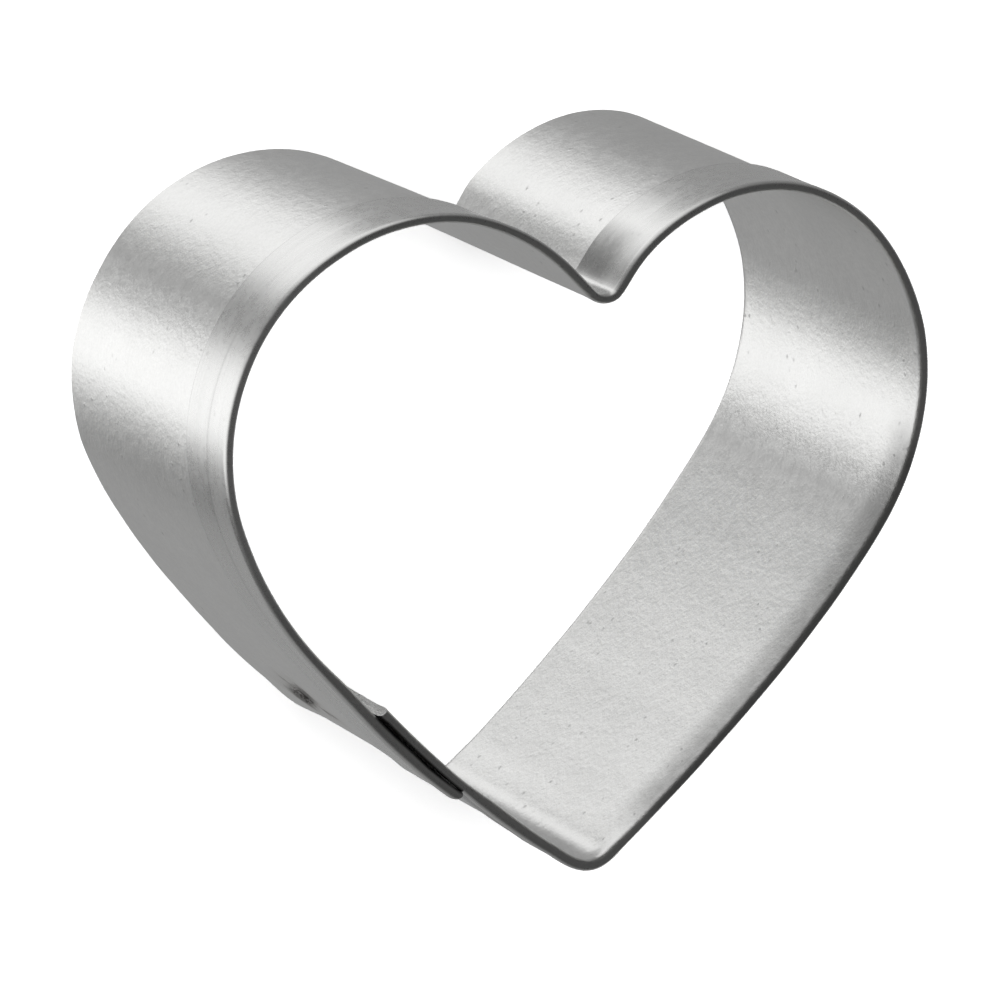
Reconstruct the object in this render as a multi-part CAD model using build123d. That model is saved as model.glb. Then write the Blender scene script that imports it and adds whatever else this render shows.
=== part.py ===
"""Heart-shaped cookie cutter bent from one hemmed strip of tin-plated steel.

Sizes are in millimetres and angles in degrees. The cutter stands on its cutting edge
at z = 0 with the folded rim up, and the tip of the heart points to -Y. The outline is
drawn on the inner face of the strip, with the bottom of the notch at x = 0, y = 0.
"""
from build123d import *
from math import atan2, cos, degrees, radians, sin, sqrt
import os

# The strip
sheet = 0.25
strip_depth = 25.4
rim_thickness = 0.6
hem_depth = 6.35
hem_crease_depth = 3.1
hem_gap = 0.05

# The notch between the lobes
notch_radius = 1.47
notch_right_angle = 48.0
notch_left_angle = 48.4
right_flank = 2.73
left_flank = 2.24

# The tip, which lies a little to the left of the notch
tip_depth = 37.4
tip_offset = 1.82
tip_radius = 2.85
tip_half_angle = 38.9

# The right side of the heart, whose cheek joins the lobe to the side
right_lobe_radius = 11.1
right_cheek_start_angle = 33.1
right_side_radius = 93.8
right_straight = 5.1

# The inner end of the strip, which runs from the tip up under the lap
inner_end_straight = 2.52
inner_end_radius = 88.0
inner_end_length = 14.6

# The outer end of the strip, which lies over the inner end and is widest apart from it at one place
lap_apart = 0.98
lap_place = 13.4
outer_end_radius = 45.8
outer_end_below = 6.9
outer_end_above = 1.1

# The left side of the heart, whose cheek joins the lobe to the side
left_lobe_radius = 13.5
left_cheek_start_angle = 113.3
left_side_radius = 27.0
left_straight = 5.97

# The spot weld in the middle of the lap
weld_from_outer_end = 4.1
weld_height = 7.8
weld_radius = 0.9
land_radius = 1.2
dimple_radius = 3.4
dimple_clearance = 0.02
tool_reach = 0.5

full_turn_angle = 360.0
right_angle = 90.0


def facing(angle):
    """Unit vector in the plane of the outline, at an angle from +X."""
    return Vector(cos(radians(angle)), sin(radians(angle)), 0)


def angle_of(direction):
    return degrees(atan2(direction.Y, direction.X))


def cheek(lobe_centre, lobe_radius, side_centre, side_radius, start_angle):
    """Radius and centre of the bend that touches the side and also touches the lobe at the start angle."""
    outward = facing(start_angle)
    start = lobe_centre + outward * lobe_radius
    from_side = start - side_centre
    radius = (from_side.dot(from_side) - side_radius**2) / (2 * (from_side.dot(outward) - side_radius))
    return radius, start - outward * radius


class Strip:
    """Lays the strip down stretch by stretch. Each angle is the one that the strip's outer face looks to."""

    def __init__(self):
        self.stretches = []

    def section(self, place, angle):
        """The strip's cross-section, facing back along the strip."""
        return Plane(place, x_dir=facing(angle), z_dir=facing(angle - right_angle)) * hem_profile()

    def straight(self, place, angle, length):
        self.stretches.append(extrude(self.section(place, angle), amount=-length))

    def bend(self, centre, radius, start_angle, end_angle):
        """Stretch bent around a centre inside the heart."""
        turn = (end_angle - start_angle) % full_turn_angle
        section = self.section(centre + facing(start_angle) * radius, start_angle)
        self.stretches.append(revolve(section, axis=Axis(centre, (0, 0, 1)), revolution_arc=turn))

    def bend_back(self, centre, radius, start_angle, end_angle):
        """Stretch bent around a centre outside the heart."""
        turn = (start_angle - end_angle) % full_turn_angle
        section = self.section(centre - facing(start_angle) * radius, start_angle)
        self.stretches.append(revolve(section, axis=Axis(centre, (0, 0, -1)), revolution_arc=turn))


def hem_profile():
    """Cross-section of the strip: x runs outward from the inner face, y runs up to the rim."""
    nose_radius = rim_thickness / 2
    nose_height = strip_depth - nose_radius
    crease_height = strip_depth - hem_crease_depth
    edge_height = strip_depth - hem_depth
    leg_inside = sheet + hem_gap
    leg_outside = leg_inside + sheet
    nose_inside = rim_thickness - sheet
    return make_face(
        [
            Line((0, 0), (0, nose_height)),
            ThreePointArc((0, nose_height), (nose_radius, strip_depth), (rim_thickness, nose_height)),
            Line((rim_thickness, nose_height), (leg_outside, crease_height)),
            Line((leg_outside, crease_height), (leg_outside, edge_height)),
            Line((leg_outside, edge_height), (leg_inside, edge_height)),
            Line((leg_inside, edge_height), (leg_inside, crease_height)),
            Line((leg_inside, crease_height), (nose_inside, nose_height)),
            ThreePointArc(
                (nose_inside, nose_height),
                (nose_radius, strip_depth - sheet),
                (sheet, nose_height),
            ),
            Line((sheet, nose_height), (sheet, 0)),
            Line((sheet, 0), (0, 0)),
        ]
    )


# Centres of the notch and the lobes
up_angle = right_angle
down_angle = 3 * right_angle
notch_centre = Vector(0, notch_radius, 0)
right_flank_angle = up_angle + notch_right_angle
left_flank_angle = up_angle - notch_left_angle
right_flank_foot = notch_centre - facing(right_flank_angle) * notch_radius
left_flank_foot = notch_centre - facing(left_flank_angle) * notch_radius
right_flank_top = right_flank_foot - facing(right_flank_angle + right_angle) * right_flank
left_flank_top = left_flank_foot + facing(left_flank_angle + right_angle) * left_flank
right_lobe_centre = right_flank_top - facing(right_flank_angle) * right_lobe_radius
left_lobe_centre = left_flank_top - facing(left_flank_angle) * left_lobe_radius

# Centres of the tip, the right side and the inner end
tip_centre = Vector(-tip_offset, tip_radius - tip_depth, 0)
right_tip_angle = down_angle + tip_half_angle
left_tip_angle = down_angle - tip_half_angle
right_straight_foot = tip_centre + facing(right_tip_angle) * tip_radius
right_side_foot = right_straight_foot + facing(right_tip_angle + right_angle) * right_straight
right_side_centre = right_side_foot - facing(right_tip_angle) * right_side_radius
left_straight_foot = tip_centre + facing(left_tip_angle) * tip_radius
inner_end_foot = left_straight_foot - facing(left_tip_angle + right_angle) * inner_end_straight
inner_end_centre = inner_end_foot - facing(left_tip_angle) * inner_end_radius
inner_end_angle = left_tip_angle - degrees(inner_end_length / inner_end_radius)

# Centres of the outer end and the left side, which follow from the inner end under them
lap_angle = left_tip_angle - degrees(lap_place / inner_end_radius)
outer_end_centre = inner_end_centre + facing(lap_angle) * (inner_end_radius + lap_apart - outer_end_radius)
outer_end_angle = lap_angle + degrees(outer_end_below / outer_end_radius)
outer_start_angle = lap_angle - degrees(outer_end_above / outer_end_radius)
outer_end_top = outer_end_centre + facing(outer_start_angle) * outer_end_radius
left_side_foot = outer_end_top - facing(outer_start_angle + right_angle) * left_straight
left_side_centre = left_side_foot - facing(outer_start_angle) * left_side_radius

# The cheeks, and the places where they meet the sides
right_cheek_radius, right_cheek_centre = cheek(
    right_lobe_centre, right_lobe_radius, right_side_centre, right_side_radius, right_cheek_start_angle
)
left_cheek_radius, left_cheek_centre = cheek(
    left_lobe_centre, left_lobe_radius, left_side_centre, left_side_radius, left_cheek_start_angle
)
right_side_angle = angle_of(right_cheek_centre - right_side_centre)
left_side_angle = angle_of(left_cheek_centre - left_side_centre)

# The strip from its inner end round the tip, the right half, the notch and the left half to its outer end
strip = Strip()
strip.bend(inner_end_centre, inner_end_radius, inner_end_angle, left_tip_angle)
strip.straight(inner_end_foot, left_tip_angle, inner_end_straight)
strip.bend(tip_centre, tip_radius, left_tip_angle, right_tip_angle)
strip.straight(right_straight_foot, right_tip_angle, right_straight)
strip.bend(right_side_centre, right_side_radius, right_tip_angle, right_side_angle)
strip.bend(right_cheek_centre, right_cheek_radius, right_side_angle, right_cheek_start_angle)
strip.bend(right_lobe_centre, right_lobe_radius, right_cheek_start_angle, right_flank_angle)
strip.straight(right_flank_top, right_flank_angle, right_flank)
strip.bend_back(notch_centre, notch_radius, right_flank_angle, left_flank_angle)
strip.straight(left_flank_foot, left_flank_angle, left_flank)
strip.bend(left_lobe_centre, left_lobe_radius, left_flank_angle, left_cheek_start_angle)
strip.bend(left_cheek_centre, left_cheek_radius, left_cheek_start_angle, left_side_angle)
strip.bend(left_side_centre, left_side_radius, left_side_angle, outer_start_angle)
strip.straight(left_side_foot, outer_start_angle, left_straight)
strip.bend(outer_end_centre, outer_end_radius, outer_start_angle, outer_end_angle)
band = Part() + strip.stretches

# The line of the weld, from the outer face of the lap into the heart
weld_angle = outer_end_angle - degrees(weld_from_outer_end / outer_end_radius)
weld_inward = facing(weld_angle) * -1
weld_level = Vector(0, 0, weld_height)
lap_face = outer_end_centre + facing(weld_angle) * (outer_end_radius + sheet) + weld_level


def depth_of_cylinder(centre, radius):
    """Depth below the lap's face at which the weld line meets an upright cylinder."""
    offset = lap_face - weld_level - centre
    along = offset.dot(weld_inward)
    across_squared = offset.dot(offset) - along**2
    return -along - sqrt(radius**2 - across_squared)


def upright_cylinder(centre, radius):
    """Solid cylinder as tall as the strip, standing on the plane of the cutting edge."""
    return Pos(centre) * extrude(Circle(radius), amount=strip_depth)


def dimple_tool(extra_depth):
    """Cone that narrows from above the lap's face down to the flat land around the weld."""
    slope = (dimple_radius - land_radius) / land_depth
    profile = make_face(
        Polyline(
            (0, -tool_reach),
            (dimple_radius + tool_reach * slope, -tool_reach),
            (land_radius, land_depth),
            (0, land_depth),
            close=True,
        )
    )
    cone = revolve(Plane.XZ * profile, axis=Axis.Z)
    return Plane(lap_face + weld_inward * extra_depth, z_dir=weld_inward) * cone


# The outer layer is pressed in to meet the inner layer at the weld.
inner_layer_depth = depth_of_cylinder(inner_end_centre, inner_end_radius + sheet)
land_depth = inner_layer_depth - dimple_clearance - sheet
dish = dimple_tool(sheet) & upright_cylinder(outer_end_centre, outer_end_radius + sheet)
band = band + dish - dimple_tool(0)

# The nugget joins both layers and ends flush with the faces of the lap.
rod_length = inner_layer_depth + sheet + tool_reach - land_depth
rod_start = Plane(lap_face + weld_inward * land_depth, z_dir=weld_inward)
nugget = rod_start * extrude(Circle(weld_radius), amount=rod_length)
nugget = nugget - upright_cylinder(inner_end_centre, inner_end_radius)
band = band - nugget

# The middle of the cutter's outline becomes the origin.
outline = band.bounding_box()
to_middle = Pos(-outline.center().X, -outline.center().Y, 0)

os.makedirs("parts", exist_ok=True)
export_step(to_middle * band, "parts/hemmed_strip.step")
export_step(to_middle * nugget, "parts/spot_weld.step")
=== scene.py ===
"""Looks of the heart-shaped cookie cutter: a swept skin of tin-plated steel over the CAD strip.

The outline is laid down from the same sizes as the CAD part, in millimetres, with angles in degrees.
Each section of the strip is then put in its place in metres.
"""
import math

import bpy
import numpy as np
from mathutils import Matrix, Vector


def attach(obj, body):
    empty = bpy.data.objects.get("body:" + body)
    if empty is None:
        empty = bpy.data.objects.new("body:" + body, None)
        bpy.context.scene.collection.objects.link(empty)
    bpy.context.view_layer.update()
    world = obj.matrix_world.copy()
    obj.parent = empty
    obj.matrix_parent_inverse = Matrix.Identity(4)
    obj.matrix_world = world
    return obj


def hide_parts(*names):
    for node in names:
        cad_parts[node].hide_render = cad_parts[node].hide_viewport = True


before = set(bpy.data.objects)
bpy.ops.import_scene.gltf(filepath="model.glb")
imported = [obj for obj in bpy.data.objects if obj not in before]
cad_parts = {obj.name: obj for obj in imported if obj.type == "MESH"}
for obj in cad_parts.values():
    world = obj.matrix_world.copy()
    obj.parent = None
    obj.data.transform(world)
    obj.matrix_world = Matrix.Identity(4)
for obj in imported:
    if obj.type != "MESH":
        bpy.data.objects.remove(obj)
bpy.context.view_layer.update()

MM = 0.001

# The strip, in millimetres
SHEET = 0.25
STRIP_DEPTH = 25.4
RIM_THICKNESS = 0.6
HEM_DEPTH = 6.35
HEM_CREASE_DEPTH = 3.1
HEM_GAP = 0.05
EDGE_ROUND = 0.05
RAW_EDGE_ROUND = 0.12
NOSE_TALL = 0.52
FOLD_INWARD = 0.05
END_OPENED = 0.12
END_LONGER = 0.22
SHEARED_WIDER = 0.16

# The outline, in millimetres and degrees
NOTCH_RADIUS = 1.47
NOTCH_RIGHT_ANGLE = 48.0
NOTCH_LEFT_ANGLE = 48.4
RIGHT_FLANK = 2.73
LEFT_FLANK = 2.24
TIP_DEPTH = 37.4
TIP_OFFSET = 1.82
TIP_RADIUS = 2.85
TIP_HALF_ANGLE = 38.9
RIGHT_LOBE_RADIUS = 11.1
RIGHT_CHEEK_START = 33.1
RIGHT_SIDE_RADIUS = 93.8
RIGHT_STRAIGHT = 5.1
INNER_END_STRAIGHT = 2.52
INNER_END_RADIUS = 88.0
INNER_END_LENGTH = 14.6
LAP_APART = 0.98
LAP_PLACE = 13.4
OUTER_END_RADIUS = 45.8
OUTER_END_BELOW = 6.9
OUTER_END_ABOVE = 1.1
LEFT_LOBE_RADIUS = 13.5
LEFT_CHEEK_START = 113.3
LEFT_SIDE_RADIUS = 27.0
LEFT_STRAIGHT = 5.97
WELD_FROM_OUTER_END = 4.1
WELD_HEIGHT = 7.8
WELD_RADIUS = 0.9
LAND_RADIUS = 1.2
NUGGET_END = 1.18
DENT_DEPTH = 0.10
DENT_RADIUS = 2.4
LEG_STATIONS = 23
MIDDLE = np.array([1.8169, 15.3469])

# How far the hand-bent strip stands out from the drawn outline: place along it, then distance, in millimetres
HAND_BENT = np.array(
    [
        (0, 0), (15.2, 0), (16.7, -0.07), (17.4, -0.1), (18, -0.03), (18.7, 0.13), (19.4, 0.26),
        (20, 0.2), (20.7, 0.08), (22.2, 0.06), (24.2, 0.04), (26.2, 0), (31.2, -0.05), (35.2, -0.02),
        (38.7, 0.04), (43.2, 0.1), (47.2, 0.07), (50.7, -0.05), (54.2, -0.1), (57.2, -0.07), (62.2, 0.06),
        (69.2, -0.03), (76.2, 0.02), (80.7, -0.06), (83.7, -0.12), (85.7, -0.08), (87.2, -0.01),
        (89.2, 0.09), (90.2, 0.03), (91.2, -0.11), (91.8, -0.11), (92.7, -0.01), (93.5, 0.03),
        (96.2, -0.05), (98.2, -0.07), (101.7, -0.05), (104.7, 0.06), (107.7, 0.03), (113.7, -0.04),
        (120.7, 0.04), (131.2, -0.03), (137.2, 0), (165, 0),
    ]
)

# How far the cutting edge stands out from the rim above it: place along the strip, then distance
EDGE_BENT = np.array(
    [
        (0, 0), (16, 0), (20, 0.45), (23, 0.56), (26, 0.49), (29, 0.36), (32, 0.25), (38, 0.03),
        (44, -0.19), (50, -0.22), (58, -0.14), (65, -0.18), (70, -0.13), (74, -0.02), (77, 0.22), (80, 0.3),
        (89, 0.3), (92, 0.1), (95, -0.35), (98, -0.55), (104, -0.48), (107, -0.35), (113, -0.12),
        (116, -0.05), (122, -0.1), (128, 0.12), (134, 0.04), (137, -0.15), (140, -0.3), (143, -0.32),
        (146, -0.17), (149, -0.05), (152, 0), (165, 0),
    ]
)


# ---------------------------------------------------------------- outline
def facing(angle):
    return np.array([math.cos(math.radians(angle)), math.sin(math.radians(angle))])


def angle_of(direction):
    return math.degrees(math.atan2(direction[1], direction[0]))


def cheek(lobe_centre, lobe_radius, side_centre, side_radius, start_angle):
    """Radius and centre of the bend that touches the side, and the lobe at the start angle."""
    outward = facing(start_angle)
    start = lobe_centre + outward * lobe_radius
    from_side = start - side_centre
    radius = (from_side @ from_side - side_radius**2) / (2 * (from_side @ outward - side_radius))
    return radius, start - outward * radius


class Outline:
    """Points along the strip's inner face with the angle that the outer face looks to."""

    def __init__(self):
        self.points = []
        self.angles = []

    def add(self, points, angles):
        first = 1 if self.points else 0
        self.points.extend(points[first:])
        self.angles.extend(angles[first:])

    def straight(self, place, angle, length, step=0.3):
        count = max(2, math.ceil(length / step) + 1)
        along = facing(angle + 90)
        self.add([place + along * d for d in np.linspace(0, length, count)], [angle] * count)

    def bend(self, centre, radius, start, end, step=0.3, hand=1):
        """hand is 1 around a centre inside the heart and -1 around one outside it."""
        turn = hand * ((hand * (end - start)) % 360)
        step = min(step, radius * 0.06)
        count = max(4, math.ceil(math.radians(abs(turn)) * radius / step) + 1)
        angles = [start + turn * t for t in np.linspace(0, 1, count)]
        self.add([centre + facing(a) * radius * hand for a in angles], angles)


def lay_outline():
    notch_centre = np.array([0.0, NOTCH_RADIUS])
    right_flank_angle = 90 + NOTCH_RIGHT_ANGLE
    left_flank_angle = 90 - NOTCH_LEFT_ANGLE
    right_foot = notch_centre - facing(right_flank_angle) * NOTCH_RADIUS
    left_foot = notch_centre - facing(left_flank_angle) * NOTCH_RADIUS
    right_top = right_foot - facing(right_flank_angle + 90) * RIGHT_FLANK
    left_top = left_foot + facing(left_flank_angle + 90) * LEFT_FLANK
    right_lobe = right_top - facing(right_flank_angle) * RIGHT_LOBE_RADIUS
    left_lobe = left_top - facing(left_flank_angle) * LEFT_LOBE_RADIUS

    tip = np.array([-TIP_OFFSET, TIP_RADIUS - TIP_DEPTH])
    right_tip_angle = 270 + TIP_HALF_ANGLE
    left_tip_angle = 270 - TIP_HALF_ANGLE
    right_straight_foot = tip + facing(right_tip_angle) * TIP_RADIUS
    right_side_foot = right_straight_foot + facing(right_tip_angle + 90) * RIGHT_STRAIGHT
    right_side = right_side_foot - facing(right_tip_angle) * RIGHT_SIDE_RADIUS
    left_straight_foot = tip + facing(left_tip_angle) * TIP_RADIUS
    inner_end_foot = left_straight_foot - facing(left_tip_angle + 90) * INNER_END_STRAIGHT
    inner_end = inner_end_foot - facing(left_tip_angle) * INNER_END_RADIUS
    inner_end_angle = left_tip_angle - math.degrees(INNER_END_LENGTH / INNER_END_RADIUS)

    lap_angle = left_tip_angle - math.degrees(LAP_PLACE / INNER_END_RADIUS)
    outer_end = inner_end + facing(lap_angle) * (INNER_END_RADIUS + LAP_APART - OUTER_END_RADIUS)
    outer_end_angle = lap_angle + math.degrees(OUTER_END_BELOW / OUTER_END_RADIUS)
    outer_start_angle = lap_angle - math.degrees(OUTER_END_ABOVE / OUTER_END_RADIUS)
    outer_end_top = outer_end + facing(outer_start_angle) * OUTER_END_RADIUS
    left_side_foot = outer_end_top - facing(outer_start_angle + 90) * LEFT_STRAIGHT
    left_side = left_side_foot - facing(outer_start_angle) * LEFT_SIDE_RADIUS

    right_radius, right_cheek = cheek(
        right_lobe, RIGHT_LOBE_RADIUS, right_side, RIGHT_SIDE_RADIUS, RIGHT_CHEEK_START
    )
    left_radius, left_cheek = cheek(
        left_lobe, LEFT_LOBE_RADIUS, left_side, LEFT_SIDE_RADIUS, LEFT_CHEEK_START
    )
    right_side_angle = angle_of(right_cheek - right_side)
    left_side_angle = angle_of(left_cheek - left_side)

    line = Outline()
    line.bend(inner_end, INNER_END_RADIUS, inner_end_angle, left_tip_angle)
    line.straight(inner_end_foot, left_tip_angle, INNER_END_STRAIGHT)
    line.bend(tip, TIP_RADIUS, left_tip_angle, right_tip_angle)
    line.straight(right_straight_foot, right_tip_angle, RIGHT_STRAIGHT)
    line.bend(right_side, RIGHT_SIDE_RADIUS, right_tip_angle, right_side_angle)
    line.bend(right_cheek, right_radius, right_side_angle, RIGHT_CHEEK_START)
    line.bend(right_lobe, RIGHT_LOBE_RADIUS, RIGHT_CHEEK_START, right_flank_angle)
    line.straight(right_top, right_flank_angle, RIGHT_FLANK)
    line.bend(notch_centre, NOTCH_RADIUS, right_flank_angle, left_flank_angle, hand=-1)
    line.straight(left_foot, left_flank_angle, LEFT_FLANK)
    line.bend(left_lobe, LEFT_LOBE_RADIUS, left_flank_angle, LEFT_CHEEK_START)
    line.bend(left_cheek, left_radius, LEFT_CHEEK_START, left_side_angle)
    line.bend(left_side, LEFT_SIDE_RADIUS, left_side_angle, outer_start_angle)
    line.straight(left_side_foot, outer_start_angle, LEFT_STRAIGHT)
    line.bend(outer_end, OUTER_END_RADIUS, outer_start_angle, outer_end_angle)

    weld_angle = outer_end_angle - math.degrees(WELD_FROM_OUTER_END / OUTER_END_RADIUS)
    weld_face = outer_end + facing(weld_angle) * (OUTER_END_RADIUS + SHEET)
    return np.array(line.points), np.array(line.angles), weld_face, weld_angle


# ---------------------------------------------------------------- section
def smooth(t):
    t = np.clip(t, 0.0, 1.0)
    return t * t * (3 - 2 * t)


def section(opened, inward, closed, ripple):
    """One section of the folded sheet: rows of (x, height) from the cutting edge round the fold to the raw edge.

    opened is how much wider the fold has sprung than its rolled thickness, and inward is how far it bulges
    over the inner face. closed goes to 1 where the shear has squeezed the layers into one. ripple moves the
    raw edge up or down.
    """
    half = (SHEET + closed * ((RIM_THICKNESS + SHEARED_WIDER) / 2 - SHEET)) / 2
    gap = HEM_GAP * (1 - closed)
    nose = (RIM_THICKNESS + opened - inward) / 2
    half_nose = (RIM_THICKNESS + opened + inward) / 2
    nose_tall = NOSE_TALL + 0.8 * opened
    nose_height = STRIP_DEPTH - nose_tall
    crease = STRIP_DEPTH - HEM_CREASE_DEPTH
    edge = STRIP_DEPTH - HEM_DEPTH + ripple
    heights = np.concatenate(
        [
            [0.0, 0.08],
            np.linspace(0.45, STRIP_DEPTH - HEM_DEPTH - 0.6, 34),
            np.linspace(STRIP_DEPTH - HEM_DEPTH - 0.1, crease - 0.5, 8),
            np.linspace(crease - 0.2, crease + 0.2, 3),
            np.linspace(crease + 0.5, nose_height - 0.1, 7),
        ]
    )
    rows = [((half - inward * smooth((h - nose_height + 1.5) / 1.5), h), (-1.0, 0.0)) for h in heights]
    wide, tall = half_nose - half, nose_tall - half
    for turn in np.linspace(math.pi, 0.0, 19):
        m = np.array([math.cos(turn) / wide, math.sin(turn) / tall])
        m /= np.linalg.norm(m)
        rows.append(((nose + wide * math.cos(turn), nose_height + tall * math.sin(turn)), tuple(m)))
    leg_x = 3 * half + gap
    nose_x = nose + wide
    for h in np.concatenate(
        [
            np.linspace(nose_height - 0.12, crease + 0.5, 7),
            np.linspace(crease + 0.22, crease - 0.22, 5),
            np.linspace(crease - 0.5, edge + 0.5, 8),
            [edge + 0.2, edge + 0.08, edge],
        ]
    ):
        x = nose_x + (leg_x - nose_x) * smooth((nose_height - h) / (nose_height - crease))
        x -= 0.006 * math.exp(-(((h - crease) / 0.15) ** 2))
        rows.append(((x, h), (1.0, 0.0)))
    outer = np.array([[c[0] + half * m[0], c[1] + half * m[1]] for c, m in rows])
    inner = np.array([[c[0] - half * m[0], c[1] - half * m[1]] for c, m in rows])
    # A sheared edge is rounded on the side that the blade entered.
    outer[0, 0] += EDGE_ROUND
    outer[-1, 0] -= RAW_EDGE_ROUND
    return outer, inner


def wobble(s, z):
    """Hand-bent unevenness of the wall, in millimetres, the same for both layers of the fold."""
    return (
        0.006 * np.sin(s * 0.61 + 0.9) * np.cos(z * 0.11 + 0.4)
        + 0.002 * np.sin(s * 1.27 + 2.1 + z * 0.05)
        + 0.006 * np.sin(s * 0.23 - z * 0.27)
    )


def streak_field(side, up, start, end, wide, narrow):
    """1 on a line between two places on the wall, falling to 0 at its half width, which tapers to the end."""
    line = np.array(end) - np.array(start)
    t = np.clip(((side - start[0]) * line[0] + (up - start[1]) * line[1]) / (line @ line), 0.0, 1.0)
    away = np.hypot(side - start[0] - line[0] * t, up - start[1] - line[1] * t)
    return 1.0 - away / (wide + (narrow - wide) * t)


def grain(values, seed):
    """Smooth noise from -1 to 1 along one line, from a few sines."""
    rng = np.random.default_rng(seed)
    out = np.zeros_like(values, dtype=float)
    for k in range(6):
        out += np.sin(values * (0.7 * 1.9**k) + rng.uniform(0, 6.28)) / (1.6**k)
    return out / 2.2


# ---------------------------------------------------------------- strip
points, angles, weld_face, weld_angle = lay_outline()
along = np.concatenate([[0.0], np.cumsum(np.linalg.norm(np.diff(points, axis=0), axis=1))])
length = along[-1]
weld_out = facing(weld_angle)
weld_point = np.array([*weld_face, WELD_HEIGHT])
weld_dir = np.array([*(-weld_out), 0.0])

# More sections near the two cut ends, where the shear left them ragged
fine = np.array([0.0, 0.05, 0.1, 0.16, 0.24, 0.34, 0.46, 0.6, 0.78, 1.0])
stations = np.unique(np.round(np.concatenate([along, fine, length - fine]), 4))
stations = stations[np.concatenate([[True], np.diff(stations) > 0.012])]
points = np.stack([np.interp(stations, along, points[:, k]) for k in (0, 1)], 1)
angles = np.interp(stations, along, np.unwrap(angles, period=360))
along = stations
blur_step = 0.05
blur_grid = np.arange(-2.0, length + 2.0, blur_step)
blur_reach = np.arange(-30, 31) * blur_step
blur = np.exp(-((blur_reach / 0.45) ** 2) / 2)


def smoothed(table):
    """The table's distance at each section, with its corners blurred."""
    rough_line = np.interp(blur_grid, table[:, 0], table[:, 1])
    return np.interp(along, blur_grid, np.convolve(rough_line, blur / blur.sum(), "same"))


hand_bent = smoothed(HAND_BENT)
edge_bent = smoothed(EDGE_BENT)
outward = np.stack([np.cos(np.radians(angles)), np.sin(np.radians(angles))], 1)
tangent = np.stack([-outward[:, 1], outward[:, 0]], 1)

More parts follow.
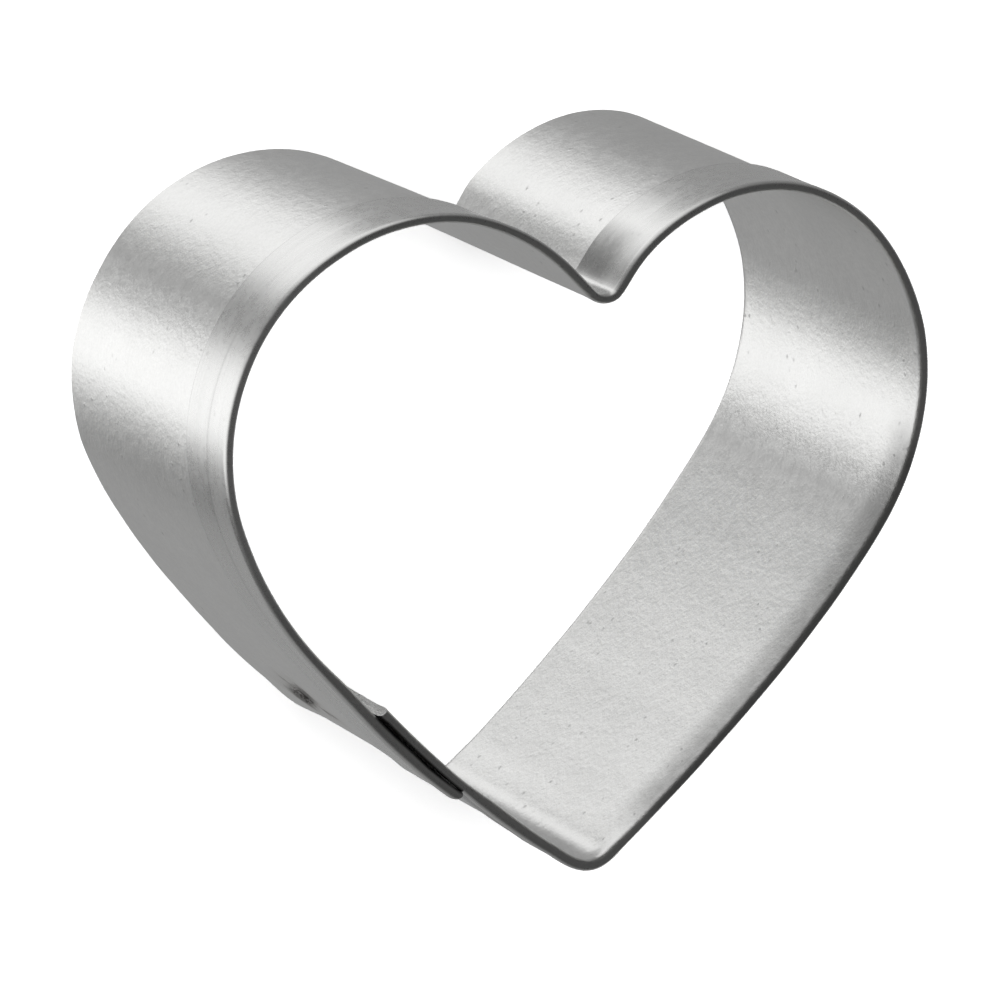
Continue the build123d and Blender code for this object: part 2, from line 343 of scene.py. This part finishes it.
verts = []
strip_coords = []
hem_values = []
burn_values = []
gap_shade_values = []
painted_shade_values = []
for i, s in enumerate(along):
    from_end = length - s
    round_off = 1 - math.sqrt(max(0.0, 1 - max(0.0, 1 - from_end / 0.5) ** 2))
    opened = END_OPENED * smooth((28.0 - from_end) / 28.0) - 0.30 * round_off
    opened += 0.10 * smooth((s - 7.0) / 3.0) * smooth((17.0 - s) / 6.0) + 0.06 * smooth((9.0 - s) / 2.0)
    closed = smooth((0.9 - s) / 0.9)
    opened += (SHEARED_WIDER - 0.06) * closed
    inward = FOLD_INWARD * smooth((s - 15.2) / 8.0) + 0.16 * smooth((s - 7.2) / 4.0) * smooth((23.2 - s) / 4.0)
    inward += 0.10 * smooth((14.0 - from_end) / 3.0) * smooth((from_end - 2.5) / 2.5)
    ripple = 0.035 * grain(np.array([s * 0.55]), 3)[0]
    outer, inner = section(opened, inward, closed, ripple)
    count_stations = len(outer)
    loop = np.vstack([outer, inner[::-1]])
    height = loop[:, 1]
    x = loop[:, 0] + wobble(s, height) + hand_bent[i] + edge_bent[i] * (1.0 - height / STRIP_DEPTH)
    # The rounded end of the fold narrows from its outer side
    base = points[i][None, :] + outward[i][None, :] * x[:, None]
    p = np.column_stack([base, height])
    in_hem = smooth((height - (STRIP_DEPTH - HEM_DEPTH - 1.5)) / 3.0)
    if from_end < 3.0:
        p[:, :2] += tangent[i][None, :] * (END_LONGER * in_hem * (1 - from_end / 3.0))[:, None]
    # Shear marks on the two cut ends
    if s < 0.5:
        rough = grain(height * 2.3 + loop[:, 0] * 2.0, 11) * 0.03 + 0.18 * loop[:, 0]
        p[:, :2] -= tangent[i][None, :] * (rough * in_hem * (1 - s / 0.5))[:, None]
        burr = 0.03 * grain(height * 2.9, 21) + 0.03 * np.sin((height - 19.0) / 6.4 * math.pi) * (loop[:, 0] < 0.3)
        p[:, :2] += outward[i][None, :] * (burr * in_hem * (1 - s / 0.5))[:, None]
    if from_end < 0.35:
        rough = grain(height * 3.1 + loop[:, 0] * 9.0, 12) * 0.04 + grain(height * 0.8, 17) * 0.03
        p[:, :2] += tangent[i][None, :] * ((rough - 0.02) * (1 - from_end / 0.35))[:, None]
    rel = p - weld_point
    axial = rel @ weld_dir
    radial = np.linalg.norm(rel - axial[:, None] * weld_dir, axis=1)
    if from_end < 14.0:
        dent = DENT_DEPTH * smooth((DENT_RADIUS - radial) / (DENT_RADIUS - LAND_RADIUS))
        low = height < STRIP_DEPTH - HEM_DEPTH - 0.05
        p += np.where(low, dent, 0.0)[:, None] * weld_dir
        # The electrode pushed the free corner out a little.
        corner = 0.16 * smooth((3.4 - from_end) / 3.0) * smooth((5.0 - height) / 4.5)
        p[:, :2] += outward[i][None, :] * corner[:, None]
    side = rel[:, :2] @ np.array([-weld_out[1], weld_out[0]])
    up = rel[:, 2]
    if from_end < 14.0 or s < 16.0:
        burn = streak_field(side, up, (1.2, -2.2), (-1.4, 2.7), 2.0, 1.7)
        burn = np.maximum(burn, 0.6 * streak_field(side, up, (0.1, 0.3), (0.9, 3.9), 1.9, 0.8))
        burn = np.maximum(burn, 0.6 * streak_field(side, up, (0.0, 0.0), (-1.9, -0.3), 1.9, 0.8))
    else:
        burn = np.full(len(p), -2.0)
    verts.append(p)
    perimeter = np.concatenate([[0.0], np.cumsum(np.linalg.norm(np.diff(loop, axis=0), axis=1))])
    strip_coords.append(np.column_stack([np.full(len(p), s), perimeter, height]))
    # The sheet's first side is the inner face, the rim and the outside of the folded leg.
    first_side = np.arange(len(loop)) < count_stations
    leg = first_side & (np.arange(len(loop)) >= count_stations - LEG_STATIONS)
    outer_nose = first_side & (height > STRIP_DEPTH - 0.6) & (loop[:, 0] > RIM_THICKNESS / 2)
    hem = np.where(leg | outer_nose, 1.0, 0.25 * smooth((height - (STRIP_DEPTH - HEM_DEPTH)) / 2.4))
    hem_values.append(hem)
    # Painted shade darkens the top of the fold, standing in for the dark reflection on the rim. It reaches further
    # down near the lap's outer end and is left out along the upper left side.
    tall = 0.35 + 0.9 * smooth((26.0 - from_end) / 18.0)
    painted_shade = np.where(first_side, smooth((height - (STRIP_DEPTH - 0.25 - tall)) / tall), 0.0)
    painted_shade = painted_shade * (1.0 - smooth((s - 112.0) / 6.0) * smooth((142.0 - s) / 6.0))
    edge = STRIP_DEPTH - HEM_DEPTH + ripple
    # Painted shade on the outside of the folded leg near the tip, where the fold shows a dark reflection.
    tip_painted_shade = smooth((s - 7.2) / 1.5) * smooth((20.2 - s) / 3.0)
    painted_shade = np.maximum(painted_shade, np.where(leg, 1.9 * tip_painted_shade * smooth((height - edge) / 1.5), 0.0))
    # Painted shade: a dark patch on the fold beside the notch, standing in for the reflection of the flank across
    # from it, and a dark band high inside the right-hand side.
    painted_dark = smooth((s - 86.8) / 2.2) * smooth((92.0 - s) / 0.8)
    painted_dark = painted_dark * (0.45 + 0.55 * smooth((STRIP_DEPTH - 1.2 - height) / 2.6)) * smooth((height - edge) / 0.1)
    painted_shade = np.maximum(painted_shade, np.where(leg, 2.1 * painted_dark, 0.0))
    # Painted shade: a fine dark line along the raw edge, and down the left side another in the crease.
    creased = smooth((s - 119.0) / 5.0) * smooth((152.0 - s) / 5.0)
    crease_shade_lines = 0.8 * (height < edge + 0.1) + 0.7 * creased * np.exp(-(((height - STRIP_DEPTH + HEM_CREASE_DEPTH) / 0.12) ** 2))
    painted_shade = np.maximum(painted_shade, np.where(leg, crease_shade_lines, 0.0))
    # Painted shade: a dark band high on the inner face of the right-hand side.
    right_band_shade = smooth((s - 21.2) / 5.0) * smooth((57.2 - s) / 4.0) * smooth((height - 21.2) / 3.4)
    painted_shade_values.append(np.maximum(painted_shade, np.where(first_side & ~leg, 1.9 * right_band_shade, 0.0)))
    burn_values.append(burn)
    # Painted shade darkens the faces that the lap hides, in the gap between the layers.
    deep = smooth((STRIP_DEPTH - 0.7 - height) / 2.2)
    looks_out = leg | ~first_side
    if s < 12.0:
        gap_shade = np.where(looks_out, deep * smooth((10.0 - s) / 1.2), 0.0)
    elif from_end < 12.0:
        gap_shade = np.where(looks_out, 0.0, deep * smooth((8.9 - from_end) / 1.6))
    else:
        gap_shade = np.zeros(len(p))
    gap_shade_values.append(gap_shade)

ring = len(verts[0])
sections = len(verts)
verts = np.vstack(verts)
verts[:, :2] += MIDDLE
strip_coords = np.vstack(strip_coords)
hem_values = np.concatenate(hem_values)
burn_values = np.concatenate(burn_values)
gap_shade_values = np.concatenate(gap_shade_values)
painted_shade_values = np.concatenate(painted_shade_values)

faces = []
cut = []
for i in range(sections - 1):
    a, b = i * ring, (i + 1) * ring
    for j in range(ring):
        k = (j + 1) % ring
        faces.append((a + j, b + j, b + k, a + k))
        cut.append(0.3 if j in (count_stations - 1, ring - 1) else 0.0)
for i in (0, sections - 1):
    a = i * ring
    for j in range(count_stations - 1):
        q = (a + j, a + j + 1, a + ring - 2 - j, a + ring - 1 - j)
        faces.append(q if i == 0 else q[::-1])
        cut.append(1.0)

mesh = bpy.data.meshes.new("hemmed_strip_skin")
mesh.from_pydata([tuple(v) for v in verts * MM], [], faces)
mesh.polygons.foreach_set("use_smooth", [True] * len(faces))
mesh.set_sharp_from_angle(angle=math.radians(38))
attribute = mesh.attributes.new("strip", "FLOAT_VECTOR", "POINT")
attribute.data.foreach_set("vector", strip_coords.astype(np.float32).ravel())
for name, values, domain in (
    ("hem", hem_values, "POINT"),
    ("burn", burn_values, "POINT"),
    ("gap_shade", gap_shade_values, "POINT"),
    ("painted_shade", painted_shade_values, "POINT"),
    ("cut", np.array(cut), "FACE"),
):
    attribute = mesh.attributes.new(name, "FLOAT", domain)
    attribute.data.foreach_set("value", values.astype(np.float32))
uv = mesh.uv_layers.new(name="UVMap")
loop_verts = np.zeros(len(mesh.loops), np.int32)
mesh.loops.foreach_get("vertex_index", loop_verts)
uv.data.foreach_set(
    "uv", (strip_coords[loop_verts][:, :2] / np.array([length, length])).astype(np.float32).ravel()
)
mesh.update()
mesh.validate()
strip = bpy.data.objects.new("hemmed_strip_skin", mesh)
bpy.context.scene.collection.objects.link(strip)


# ---------------------------------------------------------------- weld
def weld_mesh():
    """The melted spot: a lumpy plug through both layers, proud of the land and of the inner face."""
    rng = np.random.default_rng(7)
    lumps = [(rng.uniform(0, 6.28), rng.uniform(0.1, 0.8), rng.uniform(0.10, 0.22), rng.uniform(0.03, 0.11)) for _ in range(16)]
    side = np.array([-weld_out[1], weld_out[0], 0.0])
    up = np.array([0.0, 0.0, 1.0])
    out = -weld_dir
    centre = weld_point + weld_dir * DENT_DEPTH
    turns = 48
    rings = np.concatenate([[0.0], np.linspace(0.1, 0.96, 11)]) * WELD_RADIUS

    def face_rows(sign, start, height):
        rows = []
        for r in rings:
            row = []
            for k in range(turns):
                a = 2 * math.pi * k / turns
                edge = 1.0 + 0.07 * math.sin(3 * a + 1) + 0.05 * math.sin(7 * a + 2)
                x, y = r * edge * math.cos(a), r * edge * math.sin(a)
                h = height * (1 - (r / WELD_RADIUS) ** 2) ** 0.5 * 0.6
                h -= height * 0.9 * math.exp(-((r / 0.33) ** 2))
                for la, lr, lw, lh in lumps:
                    d = (x - lr * math.cos(la)) ** 2 + (y - lr * math.sin(la)) ** 2
                    h += lh * height / 0.12 * math.exp(-d / lw**2)
                row.append(centre + side * x + up * y + out * (start + sign * h))
            rows.append(row)
        return rows

    outside = face_rows(1.0, 0.0, 0.16)
    inside = face_rows(-1.0, DENT_DEPTH - NUGGET_END, 0.03)
    rows = [r for r in outside[1:]] + [r for r in inside[:0:-1]]
    vs = [outside[0][0]]
    for r in rows:
        vs.extend(r)
    vs.append(inside[0][0])
    fs = [(0, 1 + k, 1 + (k + 1) % turns) for k in range(turns)]
    for i in range(len(rows) - 1):
        for k in range(turns):
            a = 1 + i * turns
            b = a + turns
            fs.append((a + k, b + k, b + (k + 1) % turns, a + (k + 1) % turns))
    last = len(vs) - 1
    a = 1 + (len(rows) - 1) * turns
    fs.extend((a + k, last, a + (k + 1) % turns) for k in range(turns))
    vs = np.array(vs)
    vs[:, :2] += MIDDLE
    made = bpy.data.meshes.new("spot_weld_bead")
    made.from_pydata([tuple(v) for v in vs * MM], [], fs)
    made.polygons.foreach_set("use_smooth", [True] * len(fs))
    made.update()
    made.validate()
    return made


weld = bpy.data.objects.new("spot_weld_bead", weld_mesh())
bpy.context.scene.collection.objects.link(weld)


# ---------------------------------------------------------------- materials
class Nodes:
    """Short calls for building a material's nodes."""

    def __init__(self, tree):
        self.tree = tree
        tree.nodes.clear()

    def add(self, kind, **values):
        made = self.tree.nodes.new(kind)
        for key, value in values.items():
            setattr(made, key, value)
        return made

    def put(self, socket, value):
        if isinstance(value, bpy.types.NodeSocket):
            self.tree.links.new(value, socket)
        else:
            socket.default_value = value

    def math(self, operation, a, b=0.0, c=0.0, clamp=False):
        made = self.add("ShaderNodeMath", operation=operation, use_clamp=clamp)
        for socket, value in zip(made.inputs, (a, b, c)):
            self.put(socket, value)
        return made.outputs[0]

    def attribute(self, name, output):
        return self.add("ShaderNodeAttribute", attribute_name=name).outputs[output]

    def scaled(self, vector, scale):
        made = self.add("ShaderNodeVectorMath", operation="MULTIPLY")
        self.put(made.inputs[0], vector)
        self.put(made.inputs[1], scale)
        return made.outputs[0]

    def add_to(self, a, b):
        made = self.add("ShaderNodeVectorMath", operation="ADD")
        self.put(made.inputs[0], a)
        self.put(made.inputs[1], b)
        return made.outputs[0]

    def warp(self, vector, scale, amount):
        """Small vector that differs from place to place, to make cells less regular."""
        made = self.add("ShaderNodeTexNoise", noise_dimensions="3D")
        self.put(made.inputs["Vector"], vector)
        self.put(made.inputs["Scale"], scale)
        return self.scaled(made.outputs["Color"], (amount, amount, 0.0))

    def noise(self, vector, scale, detail=2.0, roughness=0.5):
        made = self.add("ShaderNodeTexNoise", noise_dimensions="3D")
        self.put(made.inputs["Vector"], vector)
        self.put(made.inputs["Scale"], scale)
        self.put(made.inputs["Detail"], detail)
        self.put(made.inputs["Roughness"], roughness)
        return made.outputs["Fac"]

    def remap(self, value, low, high, to_low, to_high):
        made = self.add("ShaderNodeMapRange", interpolation_type="SMOOTHSTEP")
        for socket, v in zip(made.inputs, (value, low, high, to_low, to_high)):
            self.put(socket, v)
        return made.outputs[0]

    def mix(self, factor, a, b):
        made = self.add("ShaderNodeMix", data_type="RGBA")
        self.put(made.inputs[0], factor)
        self.put(made.inputs[6], a)
        self.put(made.inputs[7], b)
        return made.outputs[2]

    def grey(self, value):
        made = self.add("ShaderNodeCombineColor")
        for socket in made.inputs:
            self.put(socket, value)
        return made.outputs[0]

    def bump(self, height, distance, strength=1.0, normal=None):
        made = self.add("ShaderNodeBump")
        self.put(made.inputs["Height"], height)
        self.put(made.inputs["Distance"], distance)
        self.put(made.inputs["Strength"], strength)
        if normal is not None:
            self.put(made.inputs["Normal"], normal)
        return made.outputs[0]

    def principled(self, **inputs):
        shader = self.add("ShaderNodeBsdfPrincipled")
        for name, value in inputs.items():
            self.put(shader.inputs[name.replace("_", " ")], value)
        out = self.add("ShaderNodeOutputMaterial")
        self.tree.links.new(shader.outputs[0], out.inputs[0])
        return shader


def new_material(name):
    made = bpy.data.materials.new(name)
    made.use_nodes = True
    return made, Nodes(made.node_tree)


def tinplate():
    made, n = new_material("tinplate")
    # Millimetres along the strip and across it
    place = n.scaled(n.attribute("strip", "Vector"), (1.0, 1.0, 0.0))
    hem = n.attribute("hem", "Fac")
    painted_shade = n.attribute("painted_shade", "Fac")
    cut_face = n.attribute("cut", "Fac")
    gap_shade = n.math("MULTIPLY", n.attribute("gap_shade", "Fac"), n.math("SUBTRACT", 1.0, cut_face))
    burn_field = n.attribute("burn", "Fac")
    fine = n.noise(place, 3.6, 3.0, 0.65)
    medium = n.noise(place, 1.1, 3.0, 0.55)
    cloud = n.noise(place, 0.16, 2.0, 0.5)
    # The rolls leave short streaks along the fold.
    streak = n.noise(n.scaled(place, (0.16, 2.4, 0.0)), 1.0, 1.0, 0.5)
    # Small soft pits, in loose groups
    cells = n.add("ShaderNodeTexVoronoi", feature="F1", distance="EUCLIDEAN")
    n.put(cells.inputs["Vector"], n.add_to(place, n.warp(place, 2.2, 0.35)))
    n.put(cells.inputs["Scale"], 1.25)
    picked = n.add("ShaderNodeSeparateColor")
    n.put(picked.inputs[0], cells.outputs["Color"])
    dot = n.remap(cells.outputs["Distance"], 0.0, 0.27, 1.0, 0.0)
    group = n.remap(cloud, 0.42, 0.62, -0.18, 0.28)
    keep = n.remap(n.math("ADD", picked.outputs[0], group), 0.78, 0.98, 0.0, 1.0)
    pits = n.math("MULTIPLY", n.math("MULTIPLY", dot, keep), n.remap(hem, 0.5, 1.0, 1.0, 0.4))

    burn_noise = n.noise(place, 1.7, 4.0, 0.7)
    burn_edge = n.math("ADD", burn_field, n.math("MULTIPLY", n.math("SUBTRACT", burn_noise, 0.5), 0.8))
    burn = n.remap(burn_edge, 0.15, 0.85, 0.0, 1.0)
    scorch = n.remap(burn_edge, -0.6, 0.5, 0.0, 1.0)

    tone = n.remap(fine, 0.3, 0.7, 0.955, 1.035)
    tone = n.math("MULTIPLY", tone, n.remap(medium, 0.3, 0.7, 0.965, 1.025))
    tone = n.math("MULTIPLY", tone, n.remap(cloud, 0.3, 0.7, 0.98, 1.01))
    rolled = n.remap(hem, 0.5, 1.0, 0.05, 1.0)
    tone = n.math("MULTIPLY", tone, n.math("SUBTRACT", 1.0, n.math("MULTIPLY", n.math("MULTIPLY", n.remap(streak, 0.35, 0.75, 0.0, 1.0), rolled), 0.04)))
    tone = n.math("MULTIPLY", tone, n.math("SUBTRACT", 1.0, n.math("MULTIPLY", pits, 0.26)))
    tone = n.math("MULTIPLY", tone, n.math("SUBTRACT", 1.0, n.math("MULTIPLY", hem, 0.07)))
    # Painted shade: the shade attribute darkens the tone at the rim, the tip, beside the notch and along the edge
    # lines.
    painted_dark = n.math("MULTIPLY", painted_shade, n.remap(medium, 0.3, 0.7, 0.22, 0.27))
    tone = n.math("MULTIPLY", tone, n.math("SUBTRACT", 1.0, painted_dark))
    plate = n.add("ShaderNodeVectorMath", operation="SCALE")
    plate.inputs[0].default_value = (0.775, 0.775, 0.765)
    n.put(plate.inputs[3], tone)
    face_place = n.scaled(n.attribute("strip", "Vector"), (0.0, 0.5, 1.5))
    patches = n.noise(face_place, 1.6, 3.0, 0.7)
    torn = n.mix(n.remap(patches, 0.37, 0.53, 0.0, 1.0), (0.38, 0.38, 0.37, 1.0), (1.0, 1.0, 0.99, 1.0))
    colour = n.mix(n.math("MULTIPLY", cut_face, 0.85), plate.outputs[0], torn)
    # Painted shade in the gap between the layers at the lap.
    colour = n.mix(n.math("MULTIPLY", gap_shade, 0.75), colour, (0.055, 0.055, 0.055, 1.0))
    colour = n.mix(n.math("MULTIPLY", scorch, 0.30), colour, (0.42, 0.40, 0.37, 1.0))
    colour = n.mix(n.math("MULTIPLY", burn, 0.8), colour, (0.13, 0.125, 0.12, 1.0))

    rough = n.remap(medium, 0.3, 0.7, 0.30, 0.35)
    rough = n.math("SUBTRACT", rough, n.math("MULTIPLY", hem, 0.04))
    rough = n.math("ADD", rough, n.math("MULTIPLY", n.remap(fine, 0.3, 0.7, -1.0, 1.0), 0.02))
    rough = n.math("ADD", rough, n.math("MULTIPLY", pits, 0.15))
    rough = n.math("ADD", rough, n.math("MULTIPLY", burn, 0.25))
    rough = n.math("ADD", rough, n.math("MULTIPLY", gap_shade, 0.35))
    rough = n.math("ADD", rough, n.math("MULTIPLY", cut_face, 0.12))

    even = n.math("SUBTRACT", 1.0, n.math("MULTIPLY", rolled, 0.8))
    skin = n.bump(n.math("MULTIPLY", fine, even), 0.000022)
    skin = n.bump(n.math("MULTIPLY", medium, even), 0.00003, normal=skin)
    skin = n.bump(n.math("MULTIPLY", streak, rolled), 0.000001, normal=skin)
    skin = n.bump(n.math("MULTIPLY", pits, -1.0), 0.000015, normal=skin)
    skin = n.bump(n.math("MULTIPLY", burn, burn_noise), 0.00012, normal=skin)
    skin = n.bump(n.math("MULTIPLY", cut_face, medium), 0.00003, normal=skin)
    n.principled(Base_Color=colour, Metallic=1.0, Roughness=rough, Normal=skin)
    return made


def weld_metal():
    made, n = new_material("weld_metal")
    place = n.add("ShaderNodeTexCoord").outputs["Object"]
    lumps = n.noise(place, 2600.0, 4.0, 0.65)
    specks = n.noise(place, 6500.0, 2.0, 0.5)
    bright = n.remap(specks, 0.58, 0.70, 0.0, 1.0)
    colour = n.mix(lumps, (0.11, 0.105, 0.10, 1.0), (0.30, 0.29, 0.28, 1.0))
    colour = n.mix(bright, colour, (0.66, 0.66, 0.65, 1.0))
    rough = n.remap(lumps, 0.3, 0.7, 0.3, 0.6)
    skin = n.bump(lumps, 0.00006)
    n.principled(Base_Color=colour, Metallic=1.0, Roughness=rough, Normal=skin)
    return made


strip.data.materials.append(tinplate())
weld.data.materials.append(weld_metal())
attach(strip, "root")
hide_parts("hemmed_strip")
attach(weld, "root")
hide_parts("spot_weld")


# ---------------------------------------------------------------- studio
def floor_material():
    """Pale floor that shows as white to the camera and keeps the cutter's soft shadow."""
    made, n = new_material("studio_floor")
    seen = n.add("ShaderNodeLightPath").outputs["Is Camera Ray"]
    paint = n.add("ShaderNodeBsdfDiffuse")
    paint.inputs["Color"].default_value = (0.82, 0.82, 0.82, 1.0)
    lift = n.add("ShaderNodeEmission")
    n.put(lift.inputs["Strength"], n.math("MULTIPLY", seen, 0.50))
    both = n.add("ShaderNodeAddShader")
    n.tree.links.new(paint.outputs[0], both.inputs[0])
    n.tree.links.new(lift.outputs[0], both.inputs[1])
    out = n.add("ShaderNodeOutputMaterial")
    n.tree.links.new(both.outputs[0], out.inputs[0])
    return made


floor_mesh = bpy.data.meshes.new("studio_floor")
half_floor = 3.0
floor_mesh.from_pydata(
    [(-half_floor, -half_floor, 0), (half_floor, -half_floor, 0), (half_floor, half_floor, 0), (-half_floor, half_floor, 0)],
    [],
    [(0, 1, 2, 3)],
)
floor_mesh.materials.append(floor_material())
floor = bpy.data.objects.new("studio_floor", floor_mesh)
floor.location.z = -0.00002
floor.visible_glossy = False
bpy.context.scene.collection.objects.link(floor)


def softbox_material():
    """Tall softboxes round the table: the glow depends on the direction round the drum, and fades above it."""
    made, n = new_material("softboxes")
    place = n.add("ShaderNodeTexCoord").outputs["Object"]
    split = n.add("ShaderNodeSeparateXYZ")
    n.put(split.inputs[0], place)
    x, y, z = split.outputs
    turn = n.math("ARCTAN2", y, x)

    def softbox(centre, half_width, feather, strength):
        away = n.math("SUBTRACT", turn, math.radians(centre))
        away = n.math("ABSOLUTE", n.math("WRAP", away, math.pi, -math.pi))
        inside = math.radians(half_width - feather)
        outside = math.radians(half_width + feather)
        return n.remap(away, inside, outside, strength, 0.0)

    total = n.math("ADD", softbox(101, 21, 9, 0.90), 0.26)
    total = n.math("ADD", total, softbox(114, 3, 7, -0.14))
    total = n.math("ADD", total, softbox(180, 25.5, 11, 0.96))
    total = n.math("ADD", total, softbox(215, 40, 30, 0.06))
    # Two dark screens keep the light off the outer side of the fold at the tip and down the left side.
    low_screen = n.math("MULTIPLY", softbox(316, 13, 4, 0.9), n.remap(z, -0.085, -0.06, 1.0, 0.0))
    screens = n.math("ADD", low_screen, softbox(212, 17, 6, 0.85))
    screen = n.math("MULTIPLY", screens, n.remap(z, -0.168, -0.150, 0.0, 1.0))
    total = n.math("MULTIPLY", total, n.math("SUBTRACT", 1.0, screen))
    # A higher softbox on the right lights the side that faces it.
    high = n.math("MULTIPLY", softbox(322, 22, 14, 0.55), n.remap(z, -0.085, -0.055, 0.0, 1.0))
    total = n.math("ADD", total, high)
    total = n.math("ADD", n.math("MULTIPLY", total, n.remap(z, -0.03, 0.06, 1.0, 0.0)), 0.105)
    light = n.add("ShaderNodeEmission")
    n.put(light.inputs["Strength"], total)
    out = n.add("ShaderNodeOutputMaterial")
    n.tree.links.new(light.outputs[0], out.inputs[0])
    return made


drum_mesh = bpy.data.meshes.new("softbox_drum")
drum_radius = 0.11
drum_low = -1.2
drum_high = 0.8
sides = 96
drum_verts = []
for level in (drum_low, -0.3, -0.1, 0.0, 0.1, 0.3, drum_high):
    for k in range(sides):
        a = 2 * math.pi * k / sides
        drum_verts.append((drum_radius * math.cos(a), drum_radius * math.sin(a), level))
drum_faces = []
for level in range(6):
    for k in range(sides):
        a, b = level * sides, (level + 1) * sides
        drum_faces.append((a + k, a + (k + 1) % sides, b + (k + 1) % sides, b + k))
drum_faces.append(tuple(range(sides)))
drum_faces.append(tuple(6 * sides + k for k in range(sides)))
drum_mesh.from_pydata(drum_verts, [], drum_faces)
drum_mesh.materials.append(softbox_material())
drum = bpy.data.objects.new("softbox_drum", drum_mesh)
drum.visible_camera = False
drum.visible_diffuse = False
drum.visible_shadow = False
drum.visible_transmission = False
bpy.context.scene.collection.objects.link(drum)

world = bpy.data.worlds.new("studio")
bpy.context.scene.world = world
world.use_nodes = True
w = Nodes(world.node_tree)
rays = w.add("ShaderNodeLightPath")
direction = w.add("ShaderNodeSeparateXYZ")
w.put(direction.inputs[0], w.add("ShaderNodeTexCoord").outputs["Generated"])
fill = w.remap(direction.outputs[2], -0.1, 0.1, 0.36, 0.10)
white = w.add("ShaderNodeBackground")
white.inputs["Strength"].default_value = 1.0
white.inputs["Color"].default_value = (1.0, 1.0, 1.0, 1.0)
dim = w.add("ShaderNodeBackground")
dim.inputs["Color"].default_value = (1.0, 1.0, 1.0, 1.0)
w.put(dim.inputs["Strength"], fill)
pick = w.add("ShaderNodeMixShader")
shown = w.math("ADD", rays.outputs["Is Camera Ray"], rays.outputs["Is Glossy Ray"])
w.put(pick.inputs[0], w.math("ADD", shown, rays.outputs["Is Transmission Ray"], clamp=True))
w.tree.links.new(dim.outputs[0], pick.inputs[1])
w.tree.links.new(white.outputs[0], pick.inputs[2])
world_out = w.add("ShaderNodeOutputWorld")
w.tree.links.new(pick.outputs[0], world_out.inputs[0])

sun_data = bpy.data.lights.new("key", "SUN")
sun_data.energy = 2.75
sun_data.angle = math.radians(28)
sun = bpy.data.objects.new("key", sun_data)
sun_from = Vector((-0.24, 0.20, 1.0))
sun.rotation_mode = "QUATERNION"
sun.rotation_quaternion = (-sun_from).to_track_quat("-Z", "Y")
sun.visible_glossy = False
bpy.context.scene.collection.objects.link(sun)

# ---------------------------------------------------------------- camera
camera_data = bpy.data.cameras.new("camera")
camera_data.sensor_width = 36.0
camera_data.lens = 351.257
camera_data.clip_start = 0.05
camera_data.clip_end = 20.0
camera = bpy.data.objects.new("camera", camera_data)
right = Vector((0.899856, -0.014610, 0.435943))
up = Vector((0.124122, 0.966697, -0.223810))
back = Vector((-0.418155, 0.255507, 0.871701))
turned = Matrix((right, up, back)).transposed().to_4x4()
camera.matrix_world = Matrix.Translation((-0.270088, 0.164537, 0.575658)) @ turned
bpy.context.scene.collection.objects.link(camera)
bpy.context.scene.camera = camera

bpy.context.scene.view_settings.view_transform = "Standard"
